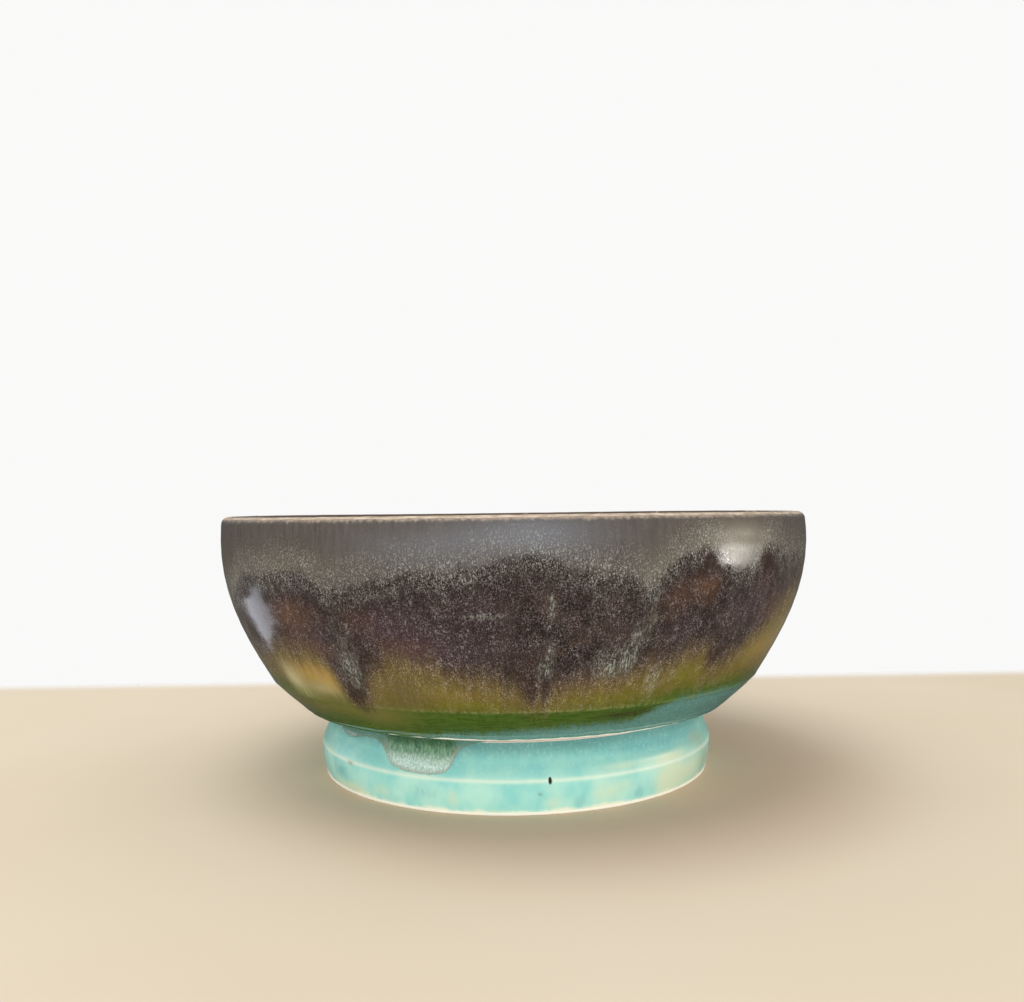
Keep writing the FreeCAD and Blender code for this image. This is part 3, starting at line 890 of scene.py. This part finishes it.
def build_slip():
    turn = turns_round(360)
    middle = (FOOT_INNER_RADIUS + NECK_TOP_RADIUS) / 2
    half = (NECK_TOP_RADIUS - FOOT_INNER_RADIUS) / 2
    angle = np.linspace(math.pi, -math.pi, 17)[:-1]
    squeeze = 0.25 + uneven(turn, (0.25, 40, 61))
    across = np.sign(np.cos(angle)) * np.abs(np.cos(angle)) ** 0.4
    radius = middle + (half + squeeze) * across
    height = (NECK_TOP + UNDERSIDE) / 2 + 0.34 * np.sin(angle) * (1 + uneven(turn, (0.1, 30, 62)))
    return ring_piece("slip_bead", turn, radius, height)


# ---------------------------------------------------------------- the glaze run at the front left

RUN_EDGE = [
    (-64, 20.4), (-61, 18.6), (-57, 17.3), (-52, 17.3), (-48, 18.4), (-43, 18.7), (-40, 18.0), (-37.5, 16.2),
    (-35.5, 13.8), (-33, 12.2), (-30, 11.5), (-25, 11.2), (-20, 11.5), (-17.5, 12.6), (-16.4, 14.5),
    (-15.6, 17.2), (-14, 19.2), (-11, 20.2), (-8, 20.6),
]
WEB_REACH = [(-64, 0.0), (-61, 0.4), (-56, 0.95), (-33, 1.0), (-30, 0.88), (-16, 0.86), (-13, 0.5), (-8, 0.0)]
TONGUE_SIDES = (-37.5, -15.3)
WEB_START = 17.6


def build_glaze_run():
    turn = np.radians(np.linspace(RUN_EDGE[0][0], RUN_EDGE[-1][0], 260))[:, None]
    low = open_line(RUN_EDGE, turn) + uneven(turn, (0.12, 200, 71), (0.10, 70, 72))
    reach = open_line(WEB_REACH, turn)
    over_corner = smooth(reach, 0.9, 1.0)
    high = UNDERSIDE + reach * (CORNER_HEIGHT - UNDERSIDE)
    high_radius = underside_radius(high) + 0.35 * over_corner
    high = high + 0.25 * over_corner
    share = np.linspace(1, 0, 56) ** 1.3
    level = low + share * (high - low)
    foot = foot_radius(np.minimum(level, NECK_TOP)) + foot_swell(turn, level)
    over_edge = np.clip((level - low) / 1.1, 0, 1)
    film = 0.55 * np.sqrt(1 - (1 - over_edge) ** 2)
    crystals = 0.06 * wander(turn, level, 300, 2.0, seed=73) * over_edge
    web_share = np.clip((level - WEB_START) / (high - WEB_START), 0, 1)
    web = (high_radius - foot_radius(NECK_TOP)) * web_share ** 2.4
    front = foot + film + crystals + web * smooth(over_edge, 0, 1)
    front = np.where(share == 1, high_radius, np.minimum(front, high_radius))

    back_height = low + np.linspace(0, 1, 14) * (NECK_TOP + 0.4 - low)
    back = foot_radius(np.minimum(back_height, NECK_TOP)) - 0.15
    under_share = np.linspace(0, 1, 8)[1:-1]
    under_height = UNDERSIDE + 0.05 + under_share * (high - UNDERSIDE - 0.1)
    under = NECK_TOP_RADIUS - 0.15 + under_share * (high_radius - NECK_TOP_RADIUS - 0.2)
    radius, height, starts = section(turn, (front, level), (back, back_height), (under, under_height))
    degrees = np.degrees(turn)
    side_gap = np.minimum(degrees - TONGUE_SIDES[0], TONGUE_SIDES[1] - degrees) * 1.15 + 0 * height
    return ring_piece(
        "glaze_run_tongue", turn, radius, height, slice(starts[1] - 1, None), strips=1, wrap=False,
        flow=flow_map(turn, radius, height, foot_high.x),
        level=height,
        above_edge=height - low,
        in_tongue=smooth(side_gap, -0.5, 1.5),
        side_gap=side_gap,
    )


# ---------------------------------------------------------------- the other materials

def lip_glaze():
    look = new_look("lip_glaze_look")
    flow = look.read_vector("flow")
    broken = look.noise(flow, 0.30, 0.9, detail=4.0, rough=0.6)
    fine = look.noise(flow, 2.2, 2.2, detail=3.0)
    colour = look.coats(
        look.shade(broken, 0.38, 0.62, (216, 198, 176), (184, 162, 138)),
        (look.step(broken, 0.62, 0.78), (128, 104, 84)),
        (look.step(fine, 0.55, 0.75, 0.0, 0.45), (160, 134, 110)),
        (look.step(look.read("from_top") + broken * 0.8, 0.8, 1.6, 0.0, 0.7), (160, 136, 112)),
    )
    return look.finish(colour, look.blend(fine, 0.30, 0.50), fine, 0.03)


def liner_glaze():
    look = new_look("liner_glaze_look")
    flow = look.read_vector("flow")
    place = look.add("NewGeometry").outputs["Position"]
    shift = look.swing(flow, 0.25, 0.05) * 14.0 + look.swing(flow, 1.6, 0.3) * 7.0
    patchy = look.swing(place, 22, 22, detail=4.0, rough=0.6)
    streak = look.swing(flow, 0.8, 0.12)
    mottled = streak * 0.4 + look.swing(place, 160, 160, detail=4.0, rough=0.65)
    depth = look.read("depth") + shift
    out = look.read("out") + shift * 0.5 + patchy * 50.0
    crowd = look.flecks(flow, 0.5, 0.35, 0.30, 0.70)
    fine = look.flecks(flow, 2.9, 2.3, 0.46, 0.66, rough=0.8)
    fine = fine * look.blend(crowd, 0.40, 0.75) * look.step(depth, 48, 34)
    needles = look.flecks(flow, 2.0, 0.85, 0.47, 0.68, detail=3.0, rough=0.75)
    needles = needles * look.step(depth, 14, 6, 0.0, 0.6)
    dark = look.mix(look.noise(flow, 0.12, 0.12, detail=3.0), (48, 37, 34), (68, 55, 54))
    amber = look.shade(mottled, -0.2, 0.2, (66, 52, 34), (88, 74, 42))
    green = look.shade(mottled, -0.2, 0.2, (58, 66, 36), (76, 86, 50))
    pool = look.shade(mottled, -0.25, 0.25, (62, 92, 78), (84, 118, 104))
    colour = look.coats(
        look.shade(streak, -0.2, 0.2, (76, 69, 64), (96, 90, 84)),
        (look.step(depth, 8, 15), dark),
        (look.step(depth + patchy * 24.0, 34, 52), amber),
        (look.step(out, 58, 34), green),
        (look.step(out, 34, 8), pool),
        (fine, (132, 120, 118)),
        (needles, (172, 168, 154)),
        (look.step(look.read("depth"), -0.4, -1.6), (84, 66, 52)),
    )
    roughness = look.blend(look.step(depth, 8, 17), 0.28, 0.15)
    return look.finish(colour, roughness, (fine + needles) * 0.5 + look.noise(flow, 0.35, 0.35), 0.03)


def bare_clay():
    look = new_look("bare_clay_look")
    place = look.add("NewGeometry").outputs["Position"]
    grit = look.noise(place, 1900, 1900, detail=4.0, rough=0.7)
    colour = look.coats(
        look.mix(look.noise(place, 70, 70, detail=3.0), (218, 198, 174), (234, 220, 202)),
        (look.dots(place, 420, 420, 0.35, 0.3) * 0.75, (120, 82, 56)),
        (look.step(look.read("edge"), 0.1, 0.7), (252, 244, 226)),
    )
    return look.finish(colour, look.blend(grit, 0.62, 0.85), grit, 0.05)


def joining_slip():
    look = new_look("joining_slip_look")
    place = look.add("NewGeometry").outputs["Position"]
    grit = look.noise(place, 1500, 1500, detail=4.0)
    colour = look.mix(grit, (224, 204, 192), (240, 224, 214))
    return look.finish(colour, look.blend(grit, 0.65, 0.85), grit, 0.06)


def turquoise_glaze():
    look = new_look("turquoise_glaze_look")
    flow = look.read_vector("flow")
    cloud = look.noise(flow, 0.12, 0.10, detail=3.0)
    mottle = look.noise(flow, 0.8, 0.55, detail=4.0, rough=0.6)
    shift = (mottle - 0.5) * 1.2
    level = look.read("level")
    upper = look.step(level, 9.5, 14.0)
    lower_colour = look.shade(cloud, 0.3, 0.7, (148, 218, 208), (188, 234, 216))
    upper_colour = look.shade(cloud, 0.3, 0.7, (130, 202, 196), (156, 214, 200))
    spots = look.flecks(flow, 1.1, 0.9, 0.50, 0.68, detail=3.0, rough=0.75)
    colour = look.coats(
        look.mix(upper, lower_colour, upper_colour),
        # Painted shade: a deeper teal towards the top of the foot, where it goes in under the bowl.
        (look.step(level + shift * 1.5, 15.5, 20.0) * 0.85, (92, 146, 144)),
        (look.step(look.read("teal") + shift * 0.5, 0.1, 1.1) * 0.85, (112, 180, 180)),
        (look.step(look.read("cream") + shift * 0.35, 0.05, 1.0) * 0.88, (222, 230, 194)),
        (look.step(look.read("warm") + shift * 0.4, 0.1, 1.1) * 0.8, (184, 186, 148)),
        (spots * look.blend(upper, 0.08, 0.28), (186, 230, 222)),
        (look.read("ridge") * look.blend(cloud, 0.55, 0.95), (232, 246, 224)),
        (look.step(level + (cloud - 0.5) * -4.0, 2.2, 0.5, 0.0, 0.9), (250, 244, 218)),
        (look.read("speck") * 0.7, (140, 104, 78)),
        # Painted shade: the pinhole is darkened to a dark grey-green.
        ("pit", (36, 42, 38)),
    )
    return look.finish(colour, look.blend(look.step(mottle, 0.35, 0.65), 0.28, 0.38), mottle, 0.008)


def run_glaze():
    look = new_look("run_glaze_look")
    flow = look.read_vector("flow")
    streaks = look.noise(flow, 0.9, 0.18, detail=3.0)
    grain = look.noise(flow, 3.0, 1.6, detail=2.0)
    height = look.read("level")
    level = height + (streaks - 0.5) * 5.0
    above = look.read("above_edge") + (streaks - 0.5)
    side_gap = look.read("side_gap") + (grain - 0.5)
    tongue = look.read("in_tongue")
    needles = look.flecks(flow, 1.6, 0.8, 0.48, 0.66, detail=3.0, rough=0.75)

    web = look.mix(grain, (74, 116, 100), (112, 146, 132))
    crystal = look.shade(grain, 0.34, 0.66, (156, 194, 176), (220, 238, 230))
    green = look.coats(
        look.shade(streaks, 0.34, 0.70, (60, 104, 72), (128, 168, 134)),
        (look.step(height, 17.8, 20.2, 0.0, 0.75), (44, 80, 48)),
    )
    run = look.coats(
        look.shade(level, 13.6, 18.0, crystal, green),
        (needles * look.step(level, 19.5, 15.0, 0.1, 0.6), (216, 236, 226)),
    )
    outline = look.mix(grain, (140, 154, 140), (170, 178, 160))
    low_side = look.step(side_gap, 2.4, 0.2) * look.step(side_gap, -2.0, 0.0)
    colour = look.coats(
        web,
        (tongue, run),
        (look.step(above, 1.9, 0.2, 0.0, 0.8) * look.blend(tongue, 0.4, 1.0), outline),
        (low_side * look.step(height, 20.5, 17.0, 0.0, 0.7), outline),
    )
    return look.finish(colour, look.blend(look.step(grain, 0.4, 0.7), 0.14, 0.28), grain, 0.03)


# ---------------------------------------------------------------- the pot

clay_look = bare_clay()
pieces = []
for build, material, slot, node in (
    (build_outer_glaze, running_glaze(), "running_glaze", "outer_glaze"),
    (build_lip_glaze, lip_glaze(), "lip_glaze", "rim_glaze"),
    (build_inner_glaze, liner_glaze(), "liner_glaze", "inner_glaze"),
    (build_bowl_clay, clay_look, "stoneware", "bowl_body"),
    (build_foot_clay, clay_look, "stoneware", "foot_ring"),
    (build_slip, joining_slip(), "slip", "luting_slip"),
    (build_foot_glaze, turquoise_glaze(), "turquoise_glaze", "foot_glaze"),
    (build_glaze_run, run_glaze(), "run_glaze", "glaze_run"),
):
    piece = build()
    piece.data.materials.append(material)
    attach(piece, "root")
    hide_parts(node)
    pieces.append(piece)

pot_only = bpy.data.collections.new("pot_only")
for piece in pieces:
    pot_only.objects.link(piece)


# ---------------------------------------------------------------- floor, light and camera

FLOOR_BEHIND = 0.152
FLOOR_FADE = 0.012
EYE_DISTANCE = 3.402 * lip_high.x * MM
EYE_ABOVE_LIP = 1.3 * MM
EYE_ROLL = math.radians(-0.9)
SENSOR_WIDTH = 36
LENS = 33.398
LENS_SHIFT = (-0.00049, 0.00859)


def build_floor():
    """A plain pale floor with a painted contact shadow round the foot. It ends softly behind the pot and is
    seen from above only.
    """
    columns, rings = 96, spread((0.01, 0.4, 24), (0.4, 6.0, 24))
    turn = FULL_TURN * np.arange(columns) / columns
    places = [(reach * math.cos(a), reach * math.sin(a), 0.0) for reach in rings for a in turn]
    faces = [list(range(columns))]
    for ring in range(len(rings) - 1):
        for column in range(columns):
            after = (column + 1) % columns
            near, far = ring * columns, (ring + 1) * columns
            faces.append((near + column, far + column, far + after, near + after))
    mesh = bpy.data.meshes.new("floor")
    mesh.from_pydata(places, [], faces)
    floor = bpy.data.objects.new("floor", mesh)
    bpy.context.scene.collection.objects.link(floor)

    look = new_look("floor_look")
    geometry = look.add("NewGeometry").outputs
    place = geometry["Position"]
    rays = look.add("LightPath").outputs
    seen = look.mix(look.noise(place, 6, 60, detail=3.0), (228, 211, 186), (240, 226, 204))
    # Painted contact shadow: the floor goes darker and warmer near the foot, centred a little right of the
    # axis and in front of it.
    away = look.add("VectorMath", {0: place, 1: (0.02, -0.02, 0)}, operation="DISTANCE").outputs["Value"]
    seen = look.mix(look.step(away, 0.12, 0.06, 0.0, 0.55), seen, (224, 190, 166))
    bounced = look.mix(rays["Is Glossy Ray"], (0.84, 0.82, 0.77, 1), (0.16, 0.15, 0.13, 1))
    colour = look.mix(rays["Is Camera Ray"], bounced, seen)
    turned = look.add("VectorTransform", {0: place},
                      vector_type="VECTOR", convert_from="WORLD", convert_to="CAMERA").outputs[0]
    behind = look.add("SeparateXYZ", {0: turned}).outputs["Z"]
    gone = look.step(behind, FLOOR_BEHIND - FLOOR_FADE, FLOOR_BEHIND + FLOOR_FADE) * rays["Is Camera Ray"]
    gone = look.maths("MAXIMUM", gone, geometry["Backfacing"])
    look.feed(look.surface.inputs["Alpha"], look.blend(gone, 1.0, 0.0))
    look.feed(look.surface.inputs["Specular IOR Level"], 0.0)
    mesh.materials.append(look.finish(colour, 0.8))


def area_light(name, place, target, width, height, radiance, tint=(1, 1, 1), only=None, mirrored=True):
    """A soft panel that faces its target, with its brightness given per unit of area."""
    light = bpy.data.lights.new(name, "AREA")
    light.shape = "RECTANGLE"
    light.size, light.size_y = width, height
    light.energy = radiance * math.pi * width * height
    light.color = tint
    panel = bpy.data.objects.new(name, light)
    facing = (Vector(place) - Vector(target)).to_track_quat("Z", "Y")
    panel.matrix_world = Matrix.Translation(place) @ facing.to_matrix().to_4x4()
    panel.visible_camera = False
    panel.visible_glossy = mirrored
    bpy.context.scene.collection.objects.link(panel)
    if only is not None:
        panel.light_linking.receiver_collection = only


def build_world():
    """White to the camera, even light on the pot, and dimmer surroundings in its reflections."""
    world = bpy.data.worlds.new("studio")
    bpy.context.scene.world = world
    look = Look(world)
    look.tree.nodes.clear()
    rays = look.add("LightPath").outputs
    up = look.add("SeparateXYZ", {0: look.add("TexCoord").outputs["Generated"]}).outputs["Z"]

    def rising(low, high):
        """Brightness that goes from low at and below the horizon to high overhead."""
        inputs = {"Value": up, "From Min": 0.0, "From Max": 1.0, "To Min": low, "To Max": high}
        return look.add("MapRange", inputs).outputs[0]

    def background(strength, colour):
        return look.add("Background", {"Color": colour, "Strength": strength}).outputs[0]

    def choose(share, below, above):
        return look.add("MixShader", {0: share, 1: below, 2: above}).outputs[0]

    lit = background(rising(0.55, 0.75), (1.0, 1.0, 0.99, 1))
    mirrored = background(rising(0.10, 0.6), (0.95, 0.97, 1.0, 1))
    seen = background(0.95, (1.0, 1.0, 0.995, 1))
    light = choose(rays["Is Glossy Ray"], lit, mirrored)
    look.add("OutputWorld", {"Surface": choose(rays["Is Camera Ray"], light, seen)})


def build_camera():
    """A view from just above the lip, a third of a metre away."""
    camera = bpy.data.cameras.new("camera")
    camera.sensor_width = SENSOR_WIDTH
    camera.lens = LENS
    camera.shift_x, camera.shift_y = LENS_SHIFT
    camera.clip_start = 0.01
    eye = bpy.data.objects.new("camera", camera)
    bpy.context.scene.collection.objects.link(eye)
    level_view = Matrix.Rotation(math.pi / 2, 4, "X") @ Matrix.Rotation(EYE_ROLL, 4, "Z")
    eye.matrix_world = Matrix.Translation((0, -EYE_DISTANCE, TOP * MM + EYE_ABOVE_LIP)) @ level_view
    bpy.context.scene.camera = eye


build_floor()
build_world()
build_camera()
area_light("overhead", (-0.2, -0.1, 1.0), (0, 0, 0.05), 0.6, 0.6, 3.0, mirrored=False)
area_light("front_fill", (-0.1, -1.1, 0.08), (0, 0, 0.04), 1.2, 0.2, 9.0, mirrored=False)
area_light("band_window", (0.15, -1.5, 0.27), (0, -0.099, 0.082), 0.16, 0.12, 2.4,
           (0.92, 0.95, 1.0), pot_only)
area_light("left_window", (-0.174, 0.0065, 0.016), (-0.0735, -0.0617, 0.058), 0.054, 0.040, 1.7,
           (0.85, 0.88, 1.0), pot_only)
area_light("right_window", (0.419, -0.094, 0.031), (0.0616, -0.0788, 0.074), 0.10, 0.038, 24.0,
           (1.0, 0.93, 0.88), pot_only)
bpy.context.scene.view_settings.view_transform = "Standard"
